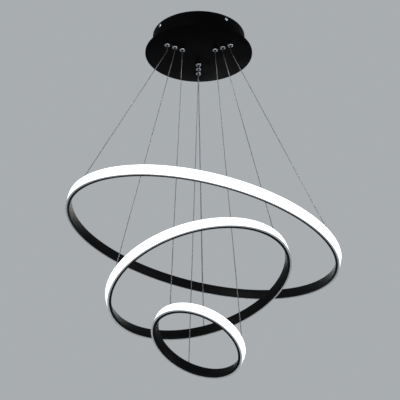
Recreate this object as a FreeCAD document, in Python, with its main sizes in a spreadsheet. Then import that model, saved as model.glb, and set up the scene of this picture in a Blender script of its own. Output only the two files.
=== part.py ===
import FreeCAD
import Part
import Sketcher
import math
import os

# Three-ring pendant chandelier, millimetres. The origin is on the ceiling plane at the middle of the
# canopy, +Z points up and everything hangs below. The three rows of cable grippers stand at azimuths
# 90, 210 and 330 degrees. Each ring hangs tilted on three wires of unequal length.

V = FreeCAD.Vector

# Driving dimensions: alias in the sheet and value in millimetres or degrees.
DIMENSIONS = {
    # how far cutting tools and joined blanks reach past a face
    "overlap": 1.0,
    # two-tier canopy
    "drum_radius": 108.0,
    "drum_wall": 1.2,
    "drum_depth": 45.0,
    "drum_flange": 10.0,
    "disc_radius": 125.0,
    "disc_thickness": 3.0,
    # ceiling bracket
    "strap_width": 20.0,
    "strap_thickness": 1.5,
    "ear_drop": 18.0,
    "ear_clearance": 0.2,
    "cable_hole_radius": 6.0,
    "fixing_hole_radius": 2.6,
    "fixing_circle_radius": 50.0,
    # screws, studs and nuts
    "side_screw_azimuth": 35.0,
    "side_screw_drop": 10.0,
    "thread_radius": 2.0,
    "thread_clearance": 0.25,
    "dome_radius": 4.2,
    "dome_height": 2.6,
    "dome_rim": 0.8,
    "dome_flat": 2.5,
    "side_screw_length": 6.0,
    "stud_length": 7.0,
    "stud_root": 1.0,
    "nut_across_flats": 7.0,
    "nut_height": 3.2,
    # cable grippers
    "row_azimuth": 90.0,
    "gripper_inset": 24.0,
    "gripper_pitch": 20.0,
    "stem_radius": 4.0,
    "stem_length": 11.0,
    "stem_clearance": 0.2,
    "gripper_radius": 6.5,
    "gripper_height": 3.0,
    "gripper_taper": 1.0,
    "gripper_nut_flats": 12.0,
    "gripper_nut_height": 4.0,
    "plunger_radius": 2.6,
    "plunger_length": 11.0,
    "plunger_reach": 4.5,
    "plunger_clearance": 0.05,
    "plunger_travel": 2.0,
    "travel_clearance": 0.2,
    "wire_radius": 0.8,
    "wire_clearance": 0.3,
    # wire routes
    "wire_straight": 3.0,
    "wire_bend_radius": 30.0,
    "tail_rise": 8.0,
    # driver and connections in the canopy
    "driver_length": 96.0,
    "driver_width": 34.0,
    "driver_height": 26.0,
    "driver_clearance": 0.5,
    "driver_corner": 3.0,
    "tab_length": 10.0,
    "tab_width": 16.0,
    "tab_thickness": 2.0,
    "block_length": 30.0,
    "block_width": 16.0,
    "block_height": 13.0,
    "block_inset": 33.0,
    "block_azimuth": 30.0,
    "block_pitch": 9.0,
    "block_screw_radius": 1.9,
    "block_screw_height": 4.0,
    "block_screw_recess": 2.0,
    "block_screw_clearance": 0.1,
    "earth_azimuth": 150.0,
    "earth_inset": 33.0,
    # ring section
    "ring_height": 21.0,
    "profile_depth": 5.2,
    "diffuser_depth": 3.8,
    "web_thickness": 1.4,
    "lip_thickness": 1.2,
    "foot_depth": 1.5,
    "foot_clearance": 0.1,
    "strip_width": 10.0,
    "strip_thickness": 1.6,
    "joiner_width": 3.2,
    "joiner_thickness": 2.0,
    "joiner_clearance": 0.1,
    "joiner_length": 44.0,
    "seam_azimuth": 150.0,
    "seam_gap": 0.2,
    # wire anchors on the rings
    "anchor_radius": 2.2,
    "anchor_height": 3.0,
    "anchor_stem_radius": 1.0,
    "anchor_stem_length": 4.0,
    "anchor_clearance": 0.1,
    "anchor_gap": 0.5,
    # where each ring hangs
    "large_radius": 300.0,
    "large_drop": 510.9,
    "large_shift_x": 6.8,
    "large_shift_y": 3.3,
    "large_pitch": -1.4,
    "large_roll": 12.8,
    "large_spin": -0.3,
    "middle_radius": 200.0,
    "middle_drop": 611.0,
    "middle_shift_x": 2.3,
    "middle_shift_y": 0.2,
    "middle_pitch": -15.2,
    "middle_roll": -14.1,
    "middle_spin": -4.3,
    "small_radius": 100.0,
    "small_drop": 740.4,
    "small_shift_x": -1.6,
    "small_shift_y": -3.0,
    "small_pitch": -23.9,
    "small_roll": 20.9,
    "small_spin": 15.3,
}

RINGS = ("large", "middle", "small")
ROWS = ("back", "left", "right")
FULL_TURN = 360.0
SCREW_COUNT = 4

doc = FreeCAD.newDocument("led_ring_chandelier")
sheet = doc.addObject("Spreadsheet::Sheet", "Dims")


class Size:
    """A length that knows its value and the sheet expression it comes from."""

    def __init__(self, value, text):
        self.value = value
        self.text = text

    def __add__(self, other):
        other = as_size(other)
        return Size(self.value + other.value, f"({self.text} + {other.text})")

    def __sub__(self, other):
        other = as_size(other)
        return Size(self.value - other.value, f"({self.text} - {other.text})")

    def __mul__(self, factor):
        return Size(self.value * factor, f"({self.text} * {factor})")

    def __neg__(self):
        return self * -1


def as_size(number):
    return number if isinstance(number, Size) else Size(number, f"{number}")


def leg(longest, other):
    """The third side of a right triangle."""
    value = math.sqrt(longest.value**2 - other.value**2)
    return Size(value, f"sqrt({longest.text}^2 - {other.text}^2)")


def smaller(one, other):
    return Size(min(one.value, other.value), f"min({one.text}; {other.text})")


def fill_sheet():
    sizes = {}
    for row, (alias, value) in enumerate(DIMENSIONS.items(), start=1):
        sheet.set(f"A{row}", str(value))
        sheet.setAlias(f"A{row}", alias)
        sizes[alias] = Size(value, f"Dims.{alias}")
    doc.recompute()
    return sizes


D = fill_sheet()
nodes = []


# helpers

def bind(item, prop, size):
    size = as_size(size)
    setattr(item, prop, size.value)
    if "Dims" in size.text:
        item.setExpression(prop, size.text)


def place_at(item, corner):
    """Moves an item to three sizes along X, Y and Z."""
    sizes = [as_size(size) for size in corner]
    item.Placement.Base = V(*[size.value for size in sizes])
    for axis, size in zip("xyz", sizes):
        if "Dims" in size.text:
            item.setExpression(f"Placement.Base.{axis}", size.text)


def cylinder(name, radius, height, place=None):
    item = doc.addObject("Part::Cylinder", name)
    bind(item, "Radius", radius)
    bind(item, "Height", height)
    item.Placement = place or FreeCAD.Placement()
    return item


def box(name, length, width, height, corner=None):
    """A box whose lower corner is given as three sizes in its own frame."""
    item = doc.addObject("Part::Box", name)
    bind(item, "Length", length)
    bind(item, "Width", width)
    bind(item, "Height", height)
    if corner:
        place_at(item, corner)
    return item


def hexagon(name, flats, height, place):
    item = doc.addObject("Part::Prism", name)
    item.Polygon = 6
    bind(item, "Circumradius", flats * (1 / math.sqrt(3)))
    bind(item, "Height", height)
    item.Placement = place
    return item


def fuse(name, shapes):
    item = doc.addObject("Part::MultiFuse", name)
    item.Shapes = shapes
    return item


def cut(name, base, tool):
    item = doc.addObject("Part::Cut", name)
    item.Base = base
    item.Tool = tool
    return item


def group(name, shapes):
    """Identical separate pieces that share one node."""
    item = doc.addObject("Part::Compound", name)
    item.Links = shapes
    return item


def placed(x, y, z, turn=None):
    return FreeCAD.Placement(V(x, y, z), turn or FreeCAD.Rotation())


def polar(radius, azimuth, z):
    """Placement at a radius and azimuth, turned so that its own X axis points outwards."""
    angle = math.radians(azimuth)
    spot = V(radius * math.cos(angle), radius * math.sin(angle), z)
    return FreeCAD.Placement(spot, FreeCAD.Rotation(V(0, 0, 1), azimuth))


def outward(radius, azimuth, z):
    """As polar, but with the Z axis of the placement pointing outwards."""
    return polar(radius, azimuth, z).multiply(placed(0, 0, 0, FreeCAD.Rotation(V(0, 1, 0), FULL_TURN / 4)))


def origin_plane(body, role):
    return next(item for item in body.Origin.OriginFeatures if item.Role == role)


def new_sketch(body, name, role):
    sketch = body.newObject("Sketcher::SketchObject", name)
    sketch.AttachmentSupport = [(origin_plane(body, role), "")]
    sketch.MapMode = "FlatFace"
    return sketch


def pin_down(sketch, edge, point, axis, size):
    """Ties one coordinate of a sketch point to a size."""
    kind = "DistanceX" if axis == "x" else "DistanceY"
    if size.value == 0:
        line = -2 if axis == "x" else -1
        sketch.addConstraint(Sketcher.Constraint("PointOnObject", edge, point, line))
        return
    number = sketch.addConstraint(Sketcher.Constraint(kind, -1, 1, edge, point, size.value))
    if "Dims" in size.text:
        sketch.setExpression(f"Constraints[{number}]", size.text)


def draw_outline(sketch, corners):
    corners = [(as_size(x), as_size(y)) for x, y in corners]
    count = len(corners)
    for i, (x, y) in enumerate(corners):
        after = corners[(i + 1) % count]
        start = V(x.value, y.value, 0)
        end = V(after[0].value, after[1].value, 0)
        sketch.addGeometry(Part.LineSegment(start, end))
    for i, (x, y) in enumerate(corners):
        sketch.addConstraint(Sketcher.Constraint("Coincident", i, 2, (i + 1) % count, 1))
        pin_down(sketch, i, 1, "x", x)
        pin_down(sketch, i, 1, "y", y)


def turned(name, corners, angle=FULL_TURN):
    """A body turned about its own Z axis from an outline of (radius, z) corners."""
    body = doc.addObject("PartDesign::Body", name)
    sketch = new_sketch(body, f"{name}_section", "XZ_Plane")
    draw_outline(sketch, corners)
    doc.recompute()
    turn = body.newObject("PartDesign::Revolution", f"{name}_turn")
    turn.Profile = sketch
    turn.ReferenceAxis = (sketch, ["V_Axis"])
    turn.Angle = angle
    turn.Midplane = angle < FULL_TURN
    body.Tip = turn
    return body


def finish(item, label):
    item.Label = label
    nodes.append(item)
    return item


# shared places

disc_top = -D["drum_depth"]
disc_face = disc_top - D["disc_thickness"]
drum_inside = D["drum_radius"] - D["drum_wall"]
gripper_face = disc_face - D["gripper_height"]
plunger_tip = gripper_face - D["plunger_reach"]
half_height = D["ring_height"] * 0.5
flange_edge = D["drum_radius"] - D["drum_flange"]
stud_circle = (drum_inside + flange_edge) * 0.5
block_radius = D["drum_radius"] - D["block_inset"]
earth_radius = D["drum_radius"] - D["earth_inset"]
driver_half = D["driver_length"] * 0.5
case_limit = leg(flange_edge, driver_half) - D["driver_width"] * 0.5
tab_limit = leg(flange_edge, driver_half + D["tab_length"]) - D["tab_width"] * 0.5
driver_offset = smaller(case_limit, tab_limit) - D["driver_clearance"]
row_step = FULL_TURN / len(ROWS)
screw_step = FULL_TURN / SCREW_COUNT
ROW_AZIMUTHS = {row: D["row_azimuth"].value + row_step * i for i, row in enumerate(ROWS)}
SCREW_AZIMUTHS = [D["side_screw_azimuth"].value + screw_step * i for i in range(SCREW_COUNT)]
STUD_AZIMUTHS = [azimuth + screw_step / 2 for azimuth in SCREW_AZIMUTHS]
outer_grippers = D["drum_radius"] - D["gripper_inset"]
GRIPPER_RADII = {ring: outer_grippers - D["gripper_pitch"] * i for i, ring in enumerate(RINGS)}


def gripper_places(z):
    """Placements of the nine grippers by ring and row, at one height."""
    places = {}
    for ring in RINGS:
        for row, azimuth in ROW_AZIMUTHS.items():
            places[ring, row] = polar(GRIPPER_RADII[ring].value, azimuth, z)
    return places


# canopy

def make_bracket():
    """Cross-shaped steel strap on the ceiling with four ears turned down behind the drum wall."""
    half_width = D["strap_width"] * 0.5
    reach = leg(drum_inside, half_width) - D["ear_clearance"]
    thickness = D["strap_thickness"]
    through = thickness + D["overlap"] * 2
    below = -(thickness + D["overlap"]).value
    arms = []
    holes = [cylinder("bracket_cable_hole", D["cable_hole_radius"], through, placed(0, 0, below))]
    for i, azimuth in enumerate(SCREW_AZIMUTHS):
        turn = FreeCAD.Rotation(V(0, 0, 1), azimuth)
        arm = box(f"bracket_arm_{i}", reach, D["strap_width"], thickness)
        arm.Placement = FreeCAD.Placement(turn.multVec(V(0, -half_width.value, -thickness.value)), turn)
        ear = box(f"bracket_ear_{i}", thickness, D["strap_width"], D["ear_drop"])
        ear_back = reach - thickness
        corner = V(ear_back.value, -half_width.value, -D["ear_drop"].value)
        ear.Placement = FreeCAD.Placement(turn.multVec(corner), turn)
        arms += [arm, ear]
        fixing = polar(D["fixing_circle_radius"].value, azimuth, below)
        holes.append(cylinder(f"bracket_fixing_{i}", D["fixing_hole_radius"], through, fixing))
        thread = outward((ear_back - D["overlap"]).value, azimuth, -D["side_screw_drop"].value)
        holes.append(cylinder(f"bracket_thread_{i}", D["thread_radius"], through, thread))
    body = cut("bracket", fuse("bracket_blank", arms), fuse("bracket_holes", holes))
    finish(body, "mounting_bracket")


def make_drum():
    """Upper cup of the canopy: a vertical wall with a flange turned in at the bottom."""
    wall = D["drum_radius"]
    flange_top = disc_top + D["drum_wall"]
    corners = [(flange_edge, disc_top), (wall, disc_top), (wall, 0), (drum_inside, 0)]
    corners += [(drum_inside, flange_top), (flange_edge, flange_top)]
    shell = turned("drum_shell", corners)
    hole = D["thread_radius"] + D["thread_clearance"]
    through = D["drum_wall"] + D["overlap"] * 2
    holes = []
    for i, azimuth in enumerate(SCREW_AZIMUTHS):
        spot = outward((drum_inside - D["overlap"]).value, azimuth, -D["side_screw_drop"].value)
        holes.append(cylinder(f"drum_side_hole_{i}", hole, through, spot))
    for i, azimuth in enumerate(STUD_AZIMUTHS):
        spot = polar(stud_circle.value, azimuth, (disc_top - D["overlap"]).value)
        holes.append(cylinder(f"drum_stud_hole_{i}", hole, through, spot))
    finish(cut("drum", shell, fuse("drum_holes", holes)), "canopy_drum")


def make_disc():
    """Lower plate of the canopy with nine gripper holes and the welded studs on its back."""
    plate = cylinder("disc_plate", D["disc_radius"], D["disc_thickness"])
    place_at(plate, (0, 0, disc_face))
    radius = D["stem_radius"] + D["stem_clearance"]
    through = D["disc_thickness"] + D["overlap"] * 2
    holes = []
    for (ring, row), spot in gripper_places((disc_face - D["overlap"]).value).items():
        holes.append(cylinder(f"disc_hole_{ring}_{row}", radius, through, spot))
    drilled = cut("disc_drilled", plate, fuse("disc_holes", holes))
    root = D["stud_root"]
    studs = []
    for use, spots in stud_spots((disc_top - root).value).items():
        for i, spot in enumerate(spots):
            studs.append(cylinder(f"{use}_stud_{i}", D["thread_radius"], D["stud_length"] + root, spot))
    finish(fuse("disc", [drilled] + studs), "canopy_disc")


def stud_spots(z):
    """Placements of the welded studs by what they hold."""
    reach = driver_half.value + D["tab_length"].value / 2
    return {
        "drum": [polar(stud_circle.value, azimuth, z) for azimuth in STUD_AZIMUTHS],
        "driver": [placed(side * reach, -driver_offset.value, z) for side in (-1, 1)],
        "earth": [polar(earth_radius.value, D["earth_azimuth"].value, z)],
    }


def make_nut(name, spot, flats, height, bore):
    blank = hexagon(f"{name}_hexagon", flats, height, spot)
    hole = cylinder(f"{name}_bore", bore, height, spot)
    return cut(name, blank, hole)


def make_canopy_nuts():
    seats = {
        "drum": ("drum_nuts", disc_top + D["drum_wall"]),
        "driver": ("driver_nuts", disc_top + D["tab_thickness"]),
        "earth": ("earth_nut", disc_top),
    }
    for use, (label, seat) in seats.items():
        nuts = []
        for i, spot in enumerate(stud_spots(seat.value)[use]):
            name = f"{use}_nut_{i}"
            nuts.append(make_nut(name, spot, D["nut_across_flats"], D["nut_height"], D["thread_radius"]))
        finish(group(f"{use}_nut_group", nuts), label)


def make_side_screws():
    """Dome-headed screws through the drum wall into the bracket's ears."""
    head = D["dome_radius"]
    shank = D["thread_radius"]
    tip = -D["side_screw_length"]
    corners = [(0, tip), (shank, tip), (shank, 0), (head, 0), (head, D["dome_rim"])]
    corners += [(D["dome_flat"], D["dome_height"]), (0, D["dome_height"])]
    screws = []
    for i, azimuth in enumerate(SCREW_AZIMUTHS):
        screw = turned(f"side_screw_{i}", corners)
        screw.Placement = outward(D["drum_radius"].value, azimuth, -D["side_screw_drop"].value)
        screws.append(screw)
    finish(group("side_screws", screws), "canopy_side_screws")


def make_driver():
    """Constant-voltage driver with a tab at each end, held on two studs."""
    near = -(driver_offset + D["driver_width"] * 0.5)
    start = (-driver_half, near, disc_top)
    case = box("driver_box", D["driver_length"], D["driver_width"], D["driver_height"], start)
    rounded = doc.addObject("Part::Fillet", "driver_rounded")
    rounded.Base = case
    doc.recompute()
    corner = D["driver_corner"].value
    edges = enumerate(case.Shape.Edges, start=1)
    rounded.Edges = [(i, corner, corner) for i, edge in edges if edge.BoundBox.ZLength > corner]
    tab_near = -(driver_offset + D["tab_width"] * 0.5)
    size = (D["tab_length"] + D["overlap"], D["tab_width"], D["tab_thickness"])
    ends = {"left": -(driver_half + D["tab_length"]), "right": driver_half - D["overlap"]}
    tabs = [box(f"driver_tab_{side}", *size, (x, tab_near, disc_top)) for side, x in ends.items()]
    blank = fuse("driver_blank", [rounded] + tabs)
    radius = D["thread_radius"] + D["thread_clearance"]
    through = D["tab_thickness"] + D["overlap"] * 2
    holes = []
    for i, spot in enumerate(stud_spots((disc_top - D["overlap"]).value)["driver"]):
        holes.append(cylinder(f"driver_hole_{i}", radius, through, spot))
    finish(cut("driver", blank, fuse("driver_holes", holes)), "led_driver")


def make_terminal_block():
    """Three-pole mains terminal block with its clamping screws in round wells."""
    azimuth = D["block_azimuth"].value
    base = polar(block_radius.value, azimuth, disc_top.value)
    block = box("block_box", D["block_width"], D["block_length"], D["block_height"])
    middle = V(-D["block_width"].value / 2, -D["block_length"].value / 2, 0)
    block.Placement = base.multiply(placed(*middle))
    well_floor = D["block_height"] - D["block_screw_recess"] - D["block_screw_height"]
    depth = D["block_screw_height"] + D["block_screw_recess"] + D["overlap"]
    screw = D["block_screw_radius"]
    well = screw + D["block_screw_clearance"]
    wells = []
    screws = []
    for pole, side in (("live", -1), ("earth", 0), ("neutral", 1)):
        spot = base.multiply(placed(0, side * D["block_pitch"].value, well_floor.value))
        wells.append(cylinder(f"block_well_{pole}", well, depth, spot))
        screws.append(cylinder(f"block_screw_{pole}", screw, D["block_screw_height"], spot))
    finish(cut("block", block, fuse("block_wells", wells)), "terminal_block")
    finish(group("block_screws", screws), "terminal_screws")


# cable grippers

def make_grippers():
    """Threaded cable grippers: a stem through the disc, a turned head below and a nut above."""
    head = D["gripper_radius"]
    stem = D["stem_radius"]
    top = D["disc_thickness"] + D["stem_length"]
    face = -D["gripper_height"]
    wire_bore = D["wire_radius"] + D["wire_clearance"]
    bore = D["plunger_radius"] + D["plunger_clearance"]
    guide_top = face + D["plunger_length"] - D["plunger_reach"] + D["plunger_travel"] + D["travel_clearance"]
    taper = D["gripper_taper"]
    outline = [(bore, face), (head - taper, face), (head, face + taper), (head, 0), (stem, 0), (stem, top)]
    outline += [(wire_bore, top), (wire_bore, guide_top), (bore, guide_top)]
    bodies = []
    nuts = []
    for (ring, row), spot in gripper_places(disc_face.value).items():
        body = turned(f"gripper_{ring}_{row}", outline)
        body.Placement = spot
        bodies.append(body)
        over = FreeCAD.Placement(V(spot.Base.x, spot.Base.y, disc_top.value), spot.Rotation)
        name = f"gripper_nut_{ring}_{row}"
        nuts.append(make_nut(name, over, D["gripper_nut_flats"], D["gripper_nut_height"], stem))
    finish(group("gripper_group", bodies), "gripper_bodies")
    finish(group("gripper_nut_group", nuts), "gripper_nuts")


def make_plungers():
    """Spring plungers that release the wire when pushed up; each moves by itself."""
    edge = D["plunger_radius"]
    bore = D["wire_radius"] + D["wire_clearance"]
    top = D["plunger_length"]
    outline = [(bore, 0), (edge, 0), (edge, top), (bore, top)]
    for (ring, row), spot in gripper_places(plunger_tip.value).items():
        plunger = turned(f"plunger_{ring}_{row}", outline)
        plunger.Placement = spot
        finish(plunger, f"{ring}_{row}_plunger")


# rings

def ring_placement(ring):
    pitch = FreeCAD.Rotation(V(1, 0, 0), D[f"{ring}_pitch"].value)
    roll = FreeCAD.Rotation(V(0, 1, 0), D[f"{ring}_roll"].value)
    spin = FreeCAD.Rotation(V(0, 0, 1), D[f"{ring}_spin"].value)
    middle = V(D[f"{ring}_shift_x"].value, D[f"{ring}_shift_y"].value, -D[f"{ring}_drop"].value)
    return FreeCAD.Placement(middle, pitch.multiply(roll).multiply(spin))


def anchor_radius_on(ring):
    """Radius of the wire anchors: the middle of the profile's top face."""
    return D[f"{ring}_radius"] - D["diffuser_depth"] - D["profile_depth"] * 0.5


def make_profile(ring, place):
    """Bent aluminium channel, open outwards, with a butt seam and three anchor holes."""
    lip = D[f"{ring}_radius"] - D["diffuser_depth"]
    inner = lip - D["profile_depth"]
    web = inner + D["web_thickness"]
    level = half_height - D["lip_thickness"]
    corners = [(inner, -half_height), (lip, -half_height), (lip, -level), (web, -level)]
    corners += [(web, level), (lip, level), (lip, half_height), (inner, half_height)]
    channel = turned(f"{ring}_channel", corners)
    beyond = D["overlap"] * 2
    seam = box(f"{ring}_seam", D["profile_depth"] + beyond, D["seam_gap"], D["ring_height"] + beyond)
    corner = (inner - D["overlap"], D["seam_gap"] * -0.5, -(half_height + D["overlap"]))
    start = placed(*[size.value for size in corner])
    seam.Placement = polar(0, D["seam_azimuth"].value, 0).multiply(start)
    cuts = [seam]
    radius = D["anchor_stem_radius"] + D["anchor_clearance"]
    through = D["lip_thickness"] + beyond
    for row, azimuth in ROW_AZIMUTHS.items():
        spot = polar(anchor_radius_on(ring).value, azimuth, (level - D["overlap"]).value)
        cuts.append(cylinder(f"{ring}_anchor_hole_{row}", radius, through, spot))
    profile = cut(f"{ring}_profile", channel, fuse(f"{ring}_profile_cuts", cuts))
    profile.Placement = place
    finish(profile, f"{ring}_ring_profile")


def make_diffuser(ring, place):
    """Opal band over the open side of the channel, with a foot between the lips."""
    outer = D[f"{ring}_radius"]
    lip = outer - D["diffuser_depth"]
    foot = lip - D["foot_depth"]
    level = half_height - D["lip_thickness"] - D["foot_clearance"]
    corners = [(outer, -half_height), (outer, half_height), (lip, half_height), (lip, level)]
    corners += [(foot, level), (foot, -level), (lip, -level), (lip, -half_height)]
    band = turned(f"{ring}_diffuser", corners)
    band.Placement = place
    finish(band, f"{ring}_ring_diffuser")


def make_led_strip(ring, place):
    web = D[f"{ring}_radius"] - D["diffuser_depth"] - D["profile_depth"] + D["web_thickness"]
    face = web + D["strip_thickness"]
    level = D["strip_width"] * 0.5
    strip = turned(f"{ring}_strip", [(web, -level), (face, -level), (face, level), (web, level)])
    strip.Placement = place
    finish(strip, f"{ring}_led_strip")


def make_joiner(ring, place):
    """Two short curved bars that bridge the seam, one above and one below the strip."""
    web = D[f"{ring}_radius"] - D["diffuser_depth"] - D["profile_depth"] + D["web_thickness"]
    start = web + D["joiner_clearance"]
    end = start + D["joiner_thickness"]
    top = half_height - D["lip_thickness"] - D["joiner_clearance"]
    low = top - D["joiner_width"]
    angle = math.degrees(D["joiner_length"].value / web.value)
    bars = []
    for side, (bottom, upper) in (("upper", (low, top)), ("lower", (-top, -low))):
        section = [(start, bottom), (end, bottom), (end, upper), (start, upper)]
        bar = turned(f"{ring}_joiner_{side}", section, angle)
        bar.Placement = polar(0, D["seam_azimuth"].value, 0)
        bars.append(bar)
    joiner = group(f"{ring}_joiner", bars)
    joiner.Placement = place
    finish(joiner, f"{ring}_ring_joiner")


def make_anchors(ring, place):
    """Nipples on the top face that hold the wire ends."""
    cap = D["anchor_radius"]
    stem = D["anchor_stem_radius"]
    top = D["anchor_height"]
    outline = [(0, -D["anchor_stem_length"]), (stem, -D["anchor_stem_length"]), (stem, 0), (cap, 0)]
    outline += [(cap, top), (0, top)]
    anchors = []
    for row, azimuth in ROW_AZIMUTHS.items():
        anchor = turned(f"{ring}_anchor_{row}", outline)
        anchor.Placement = polar(anchor_radius_on(ring).value, azimuth, half_height.value)
        anchors.append(anchor)
    item = group(f"{ring}_anchors", anchors)
    item.Placement = place
    finish(item, f"{ring}_wire_anchors")


# wires

def pipe(name, path, start, heading, place):
    """A round wire swept along tangent edges that lie in the local XZ plane."""
    wire = Part.Wire(path)
    circle = Part.Wire(Part.makeCircle(D["wire_radius"].value, start, heading))
    solid = wire.makePipeShell([circle], True, False)
    print(name, "length", round(wire.Length, 1), "mm")
    item = doc.addObject("Part::Feature", name)
    item.Shape = solid
    item.Placement = place
    return item


def bend(start, heading, target, radius):
    """An arc that turns from a heading until it points at the target, in the local XZ plane."""
    centre = start + V(radius, 0, 0)
    aim = target - centre
    distance = math.hypot(aim.x, aim.z)
    line = math.atan2(aim.z, aim.x)
    tangent = line - math.acos(radius / distance)
    first = math.pi
    last = tangent % (2 * math.pi)
    middle, leave = [
        centre + V(radius * math.cos(angle), 0, radius * math.sin(angle))
        for angle in ((first + last) / 2, last)
    ]
    return Part.Arc(start, middle, leave).toShape(), leave


def make_wire(ring, row, place):
    """Steel wire from the gripper to the ring: straight out of the nozzle, one bend, then straight."""
    gripper = polar(GRIPPER_RADII[ring].value, ROW_AZIMUTHS[row], disc_face.value).Base
    cap = V(0, 0, half_height.value + D["anchor_height"].value)
    seat = polar(anchor_radius_on(ring).value, ROW_AZIMUTHS[row], 0).Base + cap
    anchor = place.multVec(seat)
    run = V(anchor.x - gripper.x, anchor.y - gripper.y, 0)
    facing = FreeCAD.Placement(gripper, FreeCAD.Rotation(V(1, 0, 0), run))
    top = V(0, 0, 0)
    corner = V(0, 0, -(D["gripper_height"] + D["plunger_reach"] + D["wire_straight"]).value)
    target = V(run.Length, 0, anchor.z - gripper.z)
    arc, leave = bend(corner, V(0, 0, -1), target, D["wire_bend_radius"].value)
    short = (target - leave).normalize() * D["anchor_gap"].value
    end = target - short
    path = [Part.LineSegment(top, corner).toShape(), arc, Part.LineSegment(leave, end).toShape()]
    finish(pipe(f"wire_{ring}_{row}", path, top, V(0, 0, -1), facing), f"{ring}_{row}_wire")


def make_tails():
    """Ends of the wires that stand up out of the grippers inside the canopy."""
    length = D["disc_thickness"] + D["stem_length"] + D["tail_rise"]
    tails = []
    for (ring, row), spot in gripper_places(disc_face.value).items():
        tails.append(cylinder(f"tail_{ring}_{row}", D["wire_radius"], length, spot))
    finish(group("tails", tails), "wire_tails")


# build

def make_ring(ring):
    place = ring_placement(ring)
    make_profile(ring, place)
    make_diffuser(ring, place)
    make_led_strip(ring, place)
    make_joiner(ring, place)
    make_anchors(ring, place)
    for row in ROWS:
        make_wire(ring, row, place)


def check_and_write():
    doc.recompute()
    for item in doc.Objects:
        if "Invalid" in item.State or "Error" in item.State:
            raise RuntimeError(f"{item.Name} failed: {item.State}")
    for item in nodes:
        if item.Shape.isNull() or not item.Shape.isValid():
            raise RuntimeError(f"{item.Label} has no valid shape")
    os.makedirs("parts", exist_ok=True)
    for item in nodes:
        item.Shape.exportStep(f"parts/{item.Label}.step")
        print(item.Label, len(item.Shape.Solids), "solids", round(item.Shape.Volume, 1), "mm3")


make_bracket()
make_drum()
make_disc()
make_canopy_nuts()
make_side_screws()
make_driver()
make_terminal_block()
make_grippers()
make_plungers()
make_tails()
for ring_name in RINGS:
    make_ring(ring_name)
check_and_write()
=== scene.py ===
import math

import bpy
from mathutils import Euler, Matrix, Vector


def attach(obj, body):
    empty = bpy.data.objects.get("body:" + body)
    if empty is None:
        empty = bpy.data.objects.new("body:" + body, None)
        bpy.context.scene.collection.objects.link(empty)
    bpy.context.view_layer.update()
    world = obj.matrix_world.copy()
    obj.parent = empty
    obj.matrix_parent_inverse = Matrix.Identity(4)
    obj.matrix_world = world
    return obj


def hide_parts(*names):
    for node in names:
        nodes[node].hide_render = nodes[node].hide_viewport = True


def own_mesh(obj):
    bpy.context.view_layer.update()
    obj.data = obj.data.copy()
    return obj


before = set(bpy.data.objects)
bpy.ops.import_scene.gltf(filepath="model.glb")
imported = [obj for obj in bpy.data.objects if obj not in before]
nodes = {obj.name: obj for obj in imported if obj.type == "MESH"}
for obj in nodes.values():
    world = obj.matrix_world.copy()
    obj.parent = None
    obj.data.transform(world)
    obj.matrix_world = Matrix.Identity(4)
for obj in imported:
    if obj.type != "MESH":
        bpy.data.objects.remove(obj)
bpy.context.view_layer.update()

# lengths below are in mm and angles in degrees, unless a note says otherwise
mm = 0.001
mergeGap = 1e-6  # metres; points nearer than this are one
smoothAngle = 40  # edges flatter than this are shaded smooth
softAngle = 35  # edges sharper than this are rounded
plateTop = -45
plateFace = -48
rowAzimuths = {"back": 90, "left": 210, "right": 330}
screwAzimuths = (35, 125, 215, 305)


# colours and nodes

noiseShape = {
    "patchDetail": 4.0,
    "patchRoughness": 0.55,
    "smearDetail": 3.0,
    "grainDetail": 2.0,
    "low": 0.3,  # a noise hardly goes below this value
    "high": 0.7,  # or above this one
}


def linear(code):
    # an sRGB hex code as a linear colour with alpha
    parts = [int(code[i:i + 2], 16) / 255 for i in (1, 3, 5)]
    return [p / 12.92 if p <= 0.04045 else ((p + 0.055) / 1.055) ** 2.4 for p in parts] + [1.0]


def addNode(tree, kind, settings=None, inputs=None):
    node = tree.nodes.new(kind)
    for key, value in (settings or {}).items():
        setattr(node, key, value)
    for key, value in (inputs or {}).items():
        if isinstance(value, bpy.types.NodeSocket):
            tree.links.new(value, node.inputs[key])
        else:
            node.inputs[key].default_value = value
    return node


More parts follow.
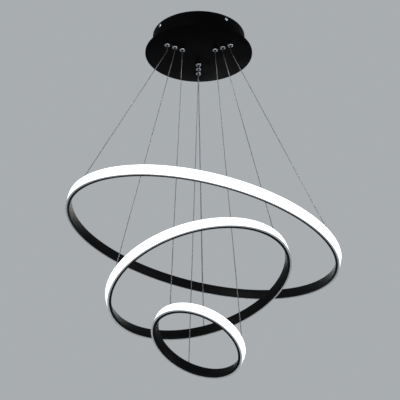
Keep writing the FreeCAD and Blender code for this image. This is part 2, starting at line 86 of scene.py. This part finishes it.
def surface(name, look):
    # two colours blended by a noise, roughness from a second one and relief from a third
    material = bpy.data.materials.new(name)
    material.use_nodes = True
    tree = material.node_tree
    tree.nodes.clear()
    place = addNode(tree, "ShaderNodeTexCoord").outputs["Object"]
    stretch = {"Vector": place, "Scale": look.get("stretch", (1, 1, 1))}
    place = addNode(tree, "ShaderNodeMapping", {}, stretch).outputs["Vector"]
    patch = {
        "Vector": place,
        "Scale": 1 / (look["patch"] * mm),
        "Detail": noiseShape["patchDetail"],
        "Roughness": noiseShape["patchRoughness"],
    }
    patches = addNode(tree, "ShaderNodeTexNoise", {}, patch).outputs["Fac"]
    blend = addNode(tree, "ShaderNodeValToRGB", {}, {"Fac": patches})
    ends = (noiseShape["low"], noiseShape["high"])
    for element, code, spot in zip(blend.color_ramp.elements, look["colours"], ends):
        element.color = linear(code)
        element.position = spot
    smear = {"Vector": place, "Scale": 1 / (look["smear"] * mm), "Detail": noiseShape["smearDetail"]}
    smears = addNode(tree, "ShaderNodeTexNoise", {}, smear).outputs["Fac"]
    spread = {
        "Value": smears,
        "From Min": noiseShape["low"],
        "From Max": noiseShape["high"],
        "To Min": look["roughness"][0],
        "To Max": look["roughness"][1],
    }
    rough = addNode(tree, "ShaderNodeMapRange", {}, spread).outputs["Result"]
    grain = {"Vector": place, "Scale": 1 / (look["grain"] * mm)}
    if look.get("relief") == "strands":
        bands = {"wave_type": "BANDS", "bands_direction": "DIAGONAL"}
        height = addNode(tree, "ShaderNodeTexWave", bands, grain).outputs["Fac"]
    else:
        grain["Detail"] = noiseShape["grainDetail"]
        height = addNode(tree, "ShaderNodeTexNoise", {}, grain).outputs["Fac"]
    bump = {"Height": height, "Strength": look["bump"], "Distance": look["depth"] * mm}
    normal = addNode(tree, "ShaderNodeBump", {}, bump).outputs["Normal"]
    values = {"Base Color": blend.outputs["Color"], "Roughness": rough, "Normal": normal}
    values.update(look.get("shader", {}))
    if "glow" in look:
        glow = addNode(tree, "ShaderNodeValToRGB", {}, {"Fac": patches})
        for element, code in zip(glow.color_ramp.elements, look["glow"]):
            element.color = linear(code)
        values["Emission Color"] = glow.outputs["Color"]
    shader = addNode(tree, "ShaderNodeBsdfPrincipled", {}, values)
    addNode(tree, "ShaderNodeOutputMaterial", {}, {"Surface": shader.outputs["BSDF"]})
    return material


# materials: patch, smear and grain are the sizes of the colour, gloss and relief patterns

# near-black fine-textured powder coat, dead matt; part of its darkness is painted shade, so the canopy
# shows hardly any light
powderCoatAndPaintedShade = surface("black_powder_coat_and_painted_shade", {
    "colours": ("#020203", "#040405"),
    "patch": 14,
    "smear": 30,
    "roughness": (0.52, 0.64),
    "grain": 0.35,
    "bump": 0.25,
    "depth": 0.05,
    "shader": {"Specular IOR Level": 0.02},
})
# satin black coating on the bent channel, a little livelier than the canopy's
satinBlack = surface("satin_black_aluminium", {
    "colours": ("#040405", "#070708"),
    "patch": 22,
    "smear": 9,
    "stretch": (1, 1, 3),
    "roughness": (0.46, 0.56),
    "grain": 0.5,
    "bump": 0.08,
    "depth": 0.03,
    "shader": {"Specular IOR Level": 0.07},
})
# milky acrylic band lit from behind, an even white with hardly any cloudiness
opalAcrylic = surface("opal_acrylic_lit", {
    "colours": ("#f2f4f5", "#fafbfb"),
    "glow": ("#f4f8ff", "#ffffff"),
    "patch": 25,
    "smear": 12,
    "roughness": (0.38, 0.48),
    "grain": 1.2,
    "bump": 0.05,
    "depth": 0.03,
    "shader": {"Emission Strength": 1.15, "IOR": 1.49},
})
# cut edge of the same acrylic, which the light inside hardly reaches; its plain milky grey is painted
# shade
opalEdgePaintedShade = surface("opal_acrylic_edge_painted_shade", {
    "colours": ("#a4a7a9", "#b0b3b4"),
    "patch": 18,
    "smear": 9,
    "roughness": (0.40, 0.52),
    "grain": 0.9,
    "bump": 0.05,
    "depth": 0.03,
    "shader": {"IOR": 1.49},
})
# polished chrome plate, bright with faint smudges
chromePlate = surface("chrome_plate", {
    "colours": ("#b4b6b9", "#cdcfd2"),
    "patch": 4,
    "smear": 2.5,
    "roughness": (0.08, 0.16),
    "grain": 0.8,
    "bump": 0.04,
    "depth": 0.02,
    "shader": {"Metallic": 1.0},
})
# polished nickel of the gripper heads, a shade darker than chrome, with sharp bright glints
polishedNickel = surface("polished_nickel", {
    "colours": ("#adafb2", "#c5c8cb"),
    "patch": 3,
    "smear": 2,
    "roughness": (0.07, 0.13),
    "grain": 0.7,
    "bump": 0.04,
    "depth": 0.02,
    "shader": {"Metallic": 1.0},
})
# dark nickel of the little release nozzles
darkNickel = surface("dark_nickel", {
    "colours": ("#4c4d50", "#626467"),
    "patch": 2,
    "smear": 1.5,
    "roughness": (0.18, 0.30),
    "grain": 0.5,
    "bump": 0.06,
    "depth": 0.02,
    "shader": {"Metallic": 1.0},
})
# stranded stainless wire, grey with a twisted lay, whose strands are drawn several times as coarse
# as the real ones so that they show at all
strandedWire = surface("stranded_steel_wire", {
    "colours": ("#77797c", "#97999c"),
    "patch": 5,
    "smear": 3,
    "roughness": (0.32, 0.45),
    "relief": "strands",
    "grain": 3.0,
    "bump": 0.5,
    "depth": 0.08,
    "shader": {"Metallic": 1.0},
})
# zinc plated sheet steel with a cloudy passivated bloom
zincSteel = surface("zinc_plated_steel", {
    "colours": ("#a5a8aa", "#c3c6c4"),
    "patch": 9,
    "smear": 6,
    "roughness": (0.28, 0.46),
    "grain": 0.7,
    "bump": 0.08,
    "depth": 0.03,
    "shader": {"Metallic": 1.0},
})
# white moulded case with the fine spark texture of its tool
whiteMoulding = surface("white_moulded_case", {
    "colours": ("#dcdcd8", "#e6e6e2"),
    "patch": 18,
    "smear": 8,
    "roughness": (0.45, 0.60),
    "grain": 0.4,
    "bump": 0.25,
    "depth": 0.05,
})
# natural polyamide, creamy and a little waxy
naturalPolyamide = surface("natural_polyamide", {
    "colours": ("#d3ccb8", "#dfd9c8"),
    "patch": 6,
    "smear": 5,
    "roughness": (0.40, 0.52),
    "grain": 0.6,
    "bump": 0.10,
    "depth": 0.04,
})
# plain brass, slightly dulled
plainBrass = surface("plain_brass", {
    "colours": ("#b8924e", "#cba75f"),
    "patch": 2.5,
    "smear": 2,
    "roughness": (0.22, 0.36),
    "grain": 0.5,
    "bump": 0.06,
    "depth": 0.02,
    "shader": {"Metallic": 1.0},
})
# white flexible board behind the opal band
stripBoard = surface("white_strip_board", {
    "colours": ("#d9d6c8", "#e6e3d6"),
    "patch": 7,
    "smear": 5,
    "roughness": (0.50, 0.62),
    "grain": 0.8,
    "bump": 0.10,
    "depth": 0.04,
})
print("materials made")


# modelling

def pick(piece):
    bpy.ops.object.select_all(action="DESELECT")
    piece.select_set(True)
    bpy.context.view_layer.objects.active = piece


def applyPlace(piece):
    pick(piece)
    bpy.ops.object.transform_apply(location=True, rotation=True, scale=True)


def smooth(piece, angle=smoothAngle):
    pick(piece)
    bpy.ops.object.shade_smooth_by_angle(angle=math.radians(angle))


def discard(piece):
    bpy.data.objects.remove(piece, do_unlink=True)


def dress(piece, name, material, body, replaced):
    piece.name = name
    piece.data.name = name
    piece.data.materials.clear()
    piece.data.materials.append(material)
    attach(piece, body)
    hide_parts(*replaced)


def soften(piece, width, segments):
    pick(piece)
    bevel = piece.modifiers.new("softEdges", "BEVEL")
    bevel.width = width * mm
    bevel.segments = segments
    bevel.limit_method = "ANGLE"
    bevel.angle_limit = math.radians(softAngle)
    bpy.ops.object.modifier_apply(modifier=bevel.name)
    smooth(piece)


def carve(piece, tool):
    # the tool's shape is cut out of the piece
    pick(piece)
    boolean = piece.modifiers.new("carve", "BOOLEAN")
    boolean.operation = "DIFFERENCE"
    boolean.solver = "EXACT"
    boolean.object = tool
    bpy.ops.object.modifier_apply(modifier=boolean.name)
    discard(tool)


def mergeDoubles(piece):
    pick(piece)
    bpy.ops.object.mode_set(mode="EDIT")
    bpy.ops.mesh.select_all(action="SELECT")
    bpy.ops.mesh.remove_doubles(threshold=mergeGap)
    bpy.ops.mesh.dissolve_degenerate(threshold=mergeGap)
    bpy.ops.mesh.normals_make_consistent(inside=False)
    bpy.ops.object.mode_set(mode="OBJECT")


def turnedRing(section, steps, gap=0.0, start=0.0):
    # a band turned about Z: a plate in the XZ plane is cut into cells, the empty ones go,
    # its corners are rounded and its outline is spun; gap and start are in radians
    (left, right), (low, high) = section["across"], section["along"]
    bpy.ops.object.select_all(action="DESELECT")
    bpy.ops.mesh.primitive_plane_add(size=1, rotation=(math.pi / 2, 0, 0))
    piece = bpy.context.object
    piece.scale = ((right - left) * mm, (high - low) * mm, 1)
    piece.location = ((left + right) / 2 * mm, 0, (low + high) / 2 * mm)
    applyPlace(piece)
    bpy.ops.object.mode_set(mode="EDIT")
    for x in section["cutsAcross"]:
        bpy.ops.mesh.select_all(action="SELECT")
        bpy.ops.mesh.bisect(plane_co=(x * mm, 0, 0), plane_no=(1, 0, 0))
    for z in section["cutsAlong"]:
        bpy.ops.mesh.select_all(action="SELECT")
        bpy.ops.mesh.bisect(plane_co=(0, 0, z * mm), plane_no=(0, 0, 1))
    bpy.ops.mesh.select_mode(type="FACE")
    bpy.ops.mesh.select_all(action="DESELECT")
    bpy.ops.object.mode_set(mode="OBJECT")
    for face in piece.data.polygons:
        face.select = section["empty"](face.center.x / mm, face.center.z / mm)
    bpy.ops.object.mode_set(mode="EDIT")
    bpy.ops.mesh.delete(type="FACE")
    bpy.ops.mesh.select_all(action="SELECT")
    bpy.ops.mesh.dissolve_faces(use_verts=True)
    bpy.ops.mesh.select_mode(type="VERT")
    bpy.ops.mesh.select_all(action="SELECT")
    bpy.ops.mesh.bevel(offset=section["round"] * mm, segments=section["roundSteps"], affect="VERTICES")
    bpy.ops.mesh.select_all(action="SELECT")
    bpy.ops.mesh.delete(type="ONLY_FACE")
    bpy.ops.mesh.select_all(action="SELECT")
    # without a window this operator turns the other way, hence the minus
    bpy.ops.transform.rotate(value=-start, orient_axis="Z", center_override=(0, 0, 0))
    bpy.ops.mesh.spin(steps=steps, angle=2 * math.pi - gap, center=(0, 0, 0), axis=(0, 0, 1))
    bpy.ops.mesh.select_all(action="SELECT")
    bpy.ops.mesh.remove_doubles(threshold=mergeGap)
    bpy.ops.mesh.select_all(action="SELECT")
    bpy.ops.mesh.fill_holes(sides=0)
    bpy.ops.mesh.select_all(action="SELECT")
    bpy.ops.mesh.normals_make_consistent(inside=False)
    bpy.ops.object.mode_set(mode="OBJECT")
    smooth(piece)
    return piece


def turnedSolid(outline, sides, rounding, roundSteps=2):
    # a solid drawn out along Z from a filled circle, one (radius, height) step after another
    bpy.ops.object.select_all(action="DESELECT")
    radius, height = outline[0]
    bpy.ops.mesh.primitive_circle_add(
        vertices=sides, radius=radius * mm, fill_type="NGON", location=(0, 0, height * mm)
    )
    piece = bpy.context.object
    applyPlace(piece)
    bpy.ops.object.mode_set(mode="EDIT")
    bpy.ops.mesh.select_mode(type="FACE")
    bpy.ops.mesh.select_all(action="SELECT")
    for nextRadius, nextHeight in outline[1:]:
        rise = (nextHeight - height) * mm
        bpy.ops.mesh.extrude_region_move(TRANSFORM_OT_translate={"value": (0, 0, rise)})
        share = nextRadius / radius
        if share != 1:
            bpy.ops.transform.resize(value=(share, share, 1), center_override=(0, 0, nextHeight * mm))
        radius, height = nextRadius, nextHeight
    bpy.ops.mesh.select_all(action="SELECT")
    bpy.ops.mesh.normals_make_consistent(inside=False)
    bpy.ops.object.mode_set(mode="OBJECT")
    if rounding:
        soften(piece, rounding, roundSteps)
    return piece


def copyOf(piece, place):
    # a copy with its own mesh, put in place in the mesh itself
    pick(piece)
    bpy.ops.object.duplicate(linked=False)
    copy = bpy.context.object
    copy.matrix_world = place
    applyPlace(copy)
    return copy


def polar(radius, azimuth, z):
    angle = math.radians(azimuth)
    spot = Vector((radius * math.cos(angle) * mm, radius * math.sin(angle) * mm, z * mm))
    return Matrix.Translation(spot) @ Matrix.Rotation(angle, 4, "Z")


# camera: its place and farthest sight are in metres, its focal length, centre and frame in pixels

cameraView = {
    "place": (-0.01643, -2.03296, -1.33008),
    "pitch": 24.7214,
    "yaw": 0.5487,
    "focal": 1018.81,
    "centre": (200.0, 188.93),
    "frame": 400,
    "sensor": 36.0,
    "farthest": 50,
}


def makeCamera(view):
    lens = bpy.data.cameras.new("photo_camera")
    lens.sensor_fit = "HORIZONTAL"
    lens.sensor_width = view["sensor"]
    lens.lens = view["focal"] / view["frame"] * view["sensor"]
    lens.shift_x = (view["frame"] / 2 - view["centre"][0]) / view["frame"]
    lens.shift_y = (view["centre"][1] - view["frame"] / 2) / view["frame"]
    lens.clip_end = view["farthest"]
    camera = bpy.data.objects.new("photo_camera", lens)
    camera.location = view["place"]
    camera.rotation_euler = (math.radians(90 + view["pitch"]), 0, math.radians(-view["yaw"]))
    bpy.context.scene.collection.objects.link(camera)
    bpy.context.scene.camera = camera


makeCamera(cameraView)


# canopy

cup = {
    "outside": 108,
    "inside": 106.8,
    "flangeEdge": 98,
    "flangeTop": -43.8,
    "rounding": 0.45,
    "roundSteps": 2,
    "steps": 192,
}


def cupSection(size):
    # an upright wall with a flange turned in at its foot
    return {
        "across": (size["flangeEdge"], size["outside"]),
        "along": (plateTop, 0),
        "cutsAcross": (size["inside"],),
        "cutsAlong": (size["flangeTop"],),
        "empty": lambda x, z: x < size["inside"] and z > size["flangeTop"],
        "round": size["rounding"],
        "roundSteps": size["roundSteps"],
    }


piece = turnedRing(cupSection(cup), cup["steps"])
dress(piece, "canopy_cup", powderCoatAndPaintedShade, "canopy", ["canopy_drum"])

plate = {
    "outline": ((125, plateTop), (125, plateFace)),
    "sides": 224,
    "rounding": 0.7,
    "roundSteps": 3,
    "hole": 4.2,
    "holeSides": 32,
    "drillLength": 5,
    "gripperRadii": {"large": 84, "middle": 64, "small": 44},
}
piece = turnedSolid(plate["outline"], plate["sides"], plate["rounding"], plate["roundSteps"])
for radius in plate["gripperRadii"].values():
    for azimuth in rowAzimuths.values():
        bpy.ops.object.select_all(action="DESELECT")
        bpy.ops.mesh.primitive_cylinder_add(
            vertices=plate["holeSides"], radius=plate["hole"] * mm, depth=plate["drillLength"] * mm,
            location=polar(radius, azimuth, (plateTop + plateFace) / 2).translation,
        )
        drill = bpy.context.object
        applyPlace(drill)
        carve(piece, drill)
smooth(piece)
dress(piece, "canopy_plate", powderCoatAndPaintedShade, "canopy", ["canopy_disc"])

# welded studs on the back of the plate: four for the cup, one for the earth, two for the driver
stud = {
    "outline": ((2.0, -46), (2.0, -38.4), (1.5, -38)),
    "sides": 20,
    "cupCircle": (cup["inside"] + cup["flangeEdge"]) / 2,
    "cupTurn": 45,  # from a side screw to the next stud
    "earth": (75, 150),
    "driver": ((-53, -67.94), (53, -67.94)),
}
model = turnedSolid(stud["outline"], stud["sides"], 0)
places = [polar(stud["cupCircle"], azimuth + stud["cupTurn"], 0) for azimuth in screwAzimuths]
places.append(polar(*stud["earth"], 0))
places += [Matrix.Translation((x * mm, y * mm, 0)) for x, y in stud["driver"]]
for i, place in enumerate(places):
    piece = copyOf(model, place)
    dress(piece, f"weld_stud_{i}", zincSteel, "canopy", ["canopy_disc"])
discard(model)

# dome screws through the cup's wall, each with a cross recess
sideScrew = {
    "head": ((4.2, 0.0), (4.2, 0.8), (3.6, 1.7), (2.5, 2.4), (1.0, 2.6), (0.5, 2.6)),
    "headSides": 40,
    "headRounding": 0.12,
    "shank": ((2.0, -6.0), (2.0, 0.2)),
    "shankSides": 24,
    "shankRounding": 0.15,
    "slot": (3.6, 0.8, 1.6),
    "slotHeight": 2.6,
    "drop": -10,
}
head = turnedSolid(sideScrew["head"], sideScrew["headSides"], sideScrew["headRounding"])
for turn in (0, math.pi / 2):
    bpy.ops.object.select_all(action="DESELECT")
    spot = (0, 0, sideScrew["slotHeight"] * mm)
    bpy.ops.mesh.primitive_cube_add(size=1, location=spot, rotation=(0, 0, turn))
    bar = bpy.context.object
    bar.scale = [length * mm for length in sideScrew["slot"]]
    applyPlace(bar)
    carve(head, bar)
mergeDoubles(head)  # the cuts leave slivers where the bars' floors meet
smooth(head)
shank = turnedSolid(sideScrew["shank"], sideScrew["shankSides"], sideScrew["shankRounding"])
outward = Matrix.Rotation(math.pi / 2, 4, "Y")
for azimuth in screwAzimuths:
    place = polar(cup["outside"], azimuth, sideScrew["drop"]) @ outward
    for part, model in (("head", head), ("shank", shank)):
        piece = copyOf(model, place)
        name = f"side_screw_{part}_{azimuth}"
        dress(piece, name, chromePlate, "canopy", ["canopy_side_screws"])
discard(head)
discard(shank)
print("canopy made")


# cable grippers: (radius, height) from the top down, heights from the plate's lower face

gripper = {
    # the stem, the head, its mouth and the bore up from it
    "body": (
        (3.6, 14.0), (4.0, 13.4), (4.0, 0.0), (6.5, 0.0), (6.5, -1.2), (6.3, -1.9), (5.9, -2.5),
        (5.2, -2.9), (4.3, -3.0), (2.75, -3.0), (2.75, 5.7),
    ),
    "bodySides": 64,
    "bodyRounding": 0.12,
    # the tube, the nozzle's rounded tip and the flared bore up from it
    "plunger": (
        (2.6, 3.5), (2.6, -6.8), (2.35, -7.4), (2.1, -7.5), (1.9, -7.5), (1.25, -6.6), (1.25, 3.3),
    ),
    "plungerSides": 40,
    "plungerRounding": 0.1,
}
bodyModel = turnedSolid(gripper["body"], gripper["bodySides"], gripper["bodyRounding"])
plungerModel = turnedSolid(gripper["plunger"], gripper["plungerSides"], gripper["plungerRounding"])
for ring, radius in plate["gripperRadii"].items():
    for row, azimuth in rowAzimuths.items():
        place = polar(radius, azimuth, plateFace)
        piece = copyOf(bodyModel, place)
        name = f"gripper_{ring}_{row}"
        dress(piece, name, polishedNickel, "canopy", ["gripper_bodies"])
        piece = copyOf(plungerModel, place)
        name = f"release_{ring}_{row}"
        node = f"{ring}_{row}_plunger"
        dress(piece, name, darkNickel, f"{node}_body", [node])
discard(bodyModel)
discard(plungerModel)
print("grippers made")


# rings: the lift is in metres, turn holds pitch, roll and spin

rings = {
    "large": {
        "radius": 300,
        "place": (6.8, 3.3, -510.9),
        "turn": (-1.4, 12.8, -0.3),
        "lift": 0.2,
        "steps": 320,
    },
    "middle": {
        "radius": 200,
        "place": (2.3, 0.2, -611.0),
        "turn": (-15.2, -14.1, -4.3),
        "lift": 0.18,
        "steps": 256,
    },
    "small": {
        "radius": 100,
        "place": (-1.6, -3.0, -740.4),
        "turn": (-23.9, 20.9, 15.3),
        "lift": 0.3,
        "steps": 192,
    },
}
band = {
    "half": 10.5,
    "opal": 3.8,
    "opalRounding": 0.6,
    "opalRoundSteps": 3,
    "channel": 5.2,
    "channelRounding": 0.35,
    "channelRoundSteps": 2,
    "web": 1.4,
    "lip": 1.2,
    "foot": 1.5,
    "play": 0.1,
    "seamAzimuth": 150,
    "seamGap": 0.2,
    "edgeSlope": 0.5,  # a face whose normal has more height than this is an edge of the opal
}
nipple = {
    "outline": (
        (2.2, 0.0), (2.2, 1.1), (1.9, 1.4), (1.9, 1.9), (2.2, 2.2), (2.2, 2.6), (1.7, 3.0), (0.8, 3.0),
    ),
    "sides": 32,
    "rounding": 0.1,
}


def ringMatrix(ring):
    turn = Euler([math.radians(angle) for angle in ring["turn"]], "ZYX").to_matrix().to_4x4()
    return Matrix.Translation([length * mm for length in ring["place"]]) @ turn


def channelSection(radius):
    # open outwards, between two lips
    lip = radius - band["opal"]
    inner = lip - band["channel"]
    web = inner + band["web"]
    level = band["half"] - band["lip"]
    return {
        "across": (inner, lip),
        "along": (-band["half"], band["half"]),
        "cutsAcross": (web,),
        "cutsAlong": (-level, level),
        "empty": lambda x, z: x > web and abs(z) < level,
        "round": band["channelRounding"],
        "roundSteps": band["channelRoundSteps"],
    }


def opalSection(radius):
    # a band over the channel with a foot between its lips
    lip = radius - band["opal"]
    level = band["half"] - band["lip"] - band["play"]
    return {
        "across": (lip - band["foot"], radius),
        "along": (-band["half"], band["half"]),
        "cutsAcross": (lip,),
        "cutsAlong": (-level, level),
        "empty": lambda x, z: x < lip and abs(z) > level,
        "round": band["opalRounding"],
        "roundSteps": band["opalRoundSteps"],
    }


nippleModel = turnedSolid(nipple["outline"], nipple["sides"], nipple["rounding"])
for name, ring in rings.items():
    body = f"{name}_ring"
    place = ringMatrix(ring)
    gap = band["seamGap"] / (ring["radius"] - band["opal"])
    start = math.radians(band["seamAzimuth"]) + gap / 2
    piece = turnedRing(channelSection(ring["radius"]), ring["steps"], gap, start)
    piece.matrix_world = place
    applyPlace(piece)
    dress(piece, f"{name}_channel", satinBlack, body, [f"{name}_ring_profile"])
    piece = turnedRing(opalSection(ring["radius"]), ring["steps"])
    edges = [face.index for face in piece.data.polygons if abs(face.normal.z) > band["edgeSlope"]]
    piece.matrix_world = place
    applyPlace(piece)
    dress(piece, f"{name}_opal_band", opalAcrylic, body, [f"{name}_ring_diffuser"])
    # the opal's top and bottom edge faces take the grey of painted shade
    piece.data.materials.append(opalEdgePaintedShade)
    for index in edges:
        piece.data.polygons[index].material_index = 1
    middle = ring["radius"] - band["opal"] - band["channel"] / 2
    for row, azimuth in rowAzimuths.items():
        piece = copyOf(nippleModel, place @ polar(middle, azimuth, band["half"]))
        title = f"{name}_nipple_{row}"
        dress(piece, title, chromePlate, body, [f"{name}_wire_anchors"])
discard(nippleModel)
print("rings made")


# wires, each a closed copy of its imported node

wire = {
    "smooth": 60,
}
for name, ring in rings.items():
    for row in rowAzimuths:
        node = f"{name}_{row}_wire"
        pick(nodes[node])
        bpy.ops.object.duplicate(linked=False)
        piece = bpy.context.object
        mergeDoubles(piece)
        smooth(piece, wire["smooth"])
        dress(piece, f"{name}_{row}_strand", strandedWire, "canopy", [node])
        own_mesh(piece)
print("wires made")


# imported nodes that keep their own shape

carried = {
    "mounting_bracket": zincSteel,
    "drum_nuts": zincSteel,
    "driver_nuts": zincSteel,
    "earth_nut": zincSteel,
    "led_driver": whiteMoulding,
    "terminal_block": naturalPolyamide,
    "terminal_screws": plainBrass,
    "gripper_nuts": chromePlate,
    "wire_tails": strandedWire,
}
for name in rings:
    carried[f"{name}_led_strip"] = stripBoard
    carried[f"{name}_ring_joiner"] = zincSteel
for name, material in carried.items():
    for slot in nodes[name].material_slots:
        slot.material = material
print("packed nodes painted")


# stage, in metres, with lamps in watts

room = {
    "floor": -2.7,
    "floorSize": 80,
    "background": "#a9adb0",
    "fill": "#eef2f5",
    "fillStrength": 0.55,
}
floorLook = {
    "colours": ("#c9cbcc", "#cfd1d2"),
    "patch": 400,
    "smear": 200,
    "roughness": (0.7, 0.8),
    "grain": 3,
    "bump": 0.05,
    "depth": 0.1,
}
lampAim = (0, 0, -0.45)
lamps = {
    "key": {"place": (-1.6, -2.2, 0.6), "size": 0.9, "power": 34, "colour": "#ffffff"},
    "side": {"place": (2.2, -1.2, -0.4), "size": 0.8, "power": 16, "colour": "#f4f8ff"},
    "rear": {"place": (0.3, 2.4, 0.2), "size": 1.8, "power": 18, "colour": "#ffffff"},
    "low": {"place": (0.0, -1.3, -2.2), "size": 1.4, "power": 14, "colour": "#ffffff"},
}


def makeFloor():
    bpy.ops.object.select_all(action="DESELECT")
    bpy.ops.mesh.primitive_plane_add(size=room["floorSize"], location=(0, 0, room["floor"]))
    floor = bpy.context.object
    floor.name = "floor"
    floor.data.materials.append(surface("pale_floor", floorLook))


def makeWorld():
    # the camera, gloss and clear pieces see the background colour, all else the fill light
    world = bpy.data.worlds.new("soft_room")
    bpy.context.scene.world = world
    world.use_nodes = True
    tree = world.node_tree
    tree.nodes.clear()
    path = addNode(tree, "ShaderNodeLightPath")
    seen = path.outputs["Is Camera Ray"]
    for kind in ("Is Glossy Ray", "Is Transmission Ray"):
        larger = {"operation": "MAXIMUM"}
        seen = addNode(tree, "ShaderNodeMath", larger, {0: seen, 1: path.outputs[kind]}).outputs[0]
    fillLight = {"Color": linear(room["fill"]), "Strength": room["fillStrength"]}
    fillNode = addNode(tree, "ShaderNodeBackground", {}, fillLight)
    backdrop = {"Color": linear(room["background"]), "Strength": 1.0}
    backdropNode = addNode(tree, "ShaderNodeBackground", {}, backdrop)
    choice = {0: seen, 1: fillNode.outputs[0], 2: backdropNode.outputs[0]}
    mix = addNode(tree, "ShaderNodeMixShader", {}, choice)
    addNode(tree, "ShaderNodeOutputWorld", {}, {"Surface": mix.outputs[0]})


def makeLamps():
    for name, lamp in lamps.items():
        light = bpy.data.lights.new(name, "AREA")
        light.shape = "DISK"
        light.size = lamp["size"]
        light.energy = lamp["power"]
        light.color = linear(lamp["colour"])[:3]
        holder = bpy.data.objects.new(name, light)
        holder.location = lamp["place"]
        holder.rotation_euler = (Vector(lampAim) - holder.location).to_track_quat("-Z", "Y").to_euler()
        bpy.context.scene.collection.objects.link(holder)


makeFloor()
makeWorld()
makeLamps()
bpy.context.scene.view_settings.view_transform = "Standard"
print("stage made")
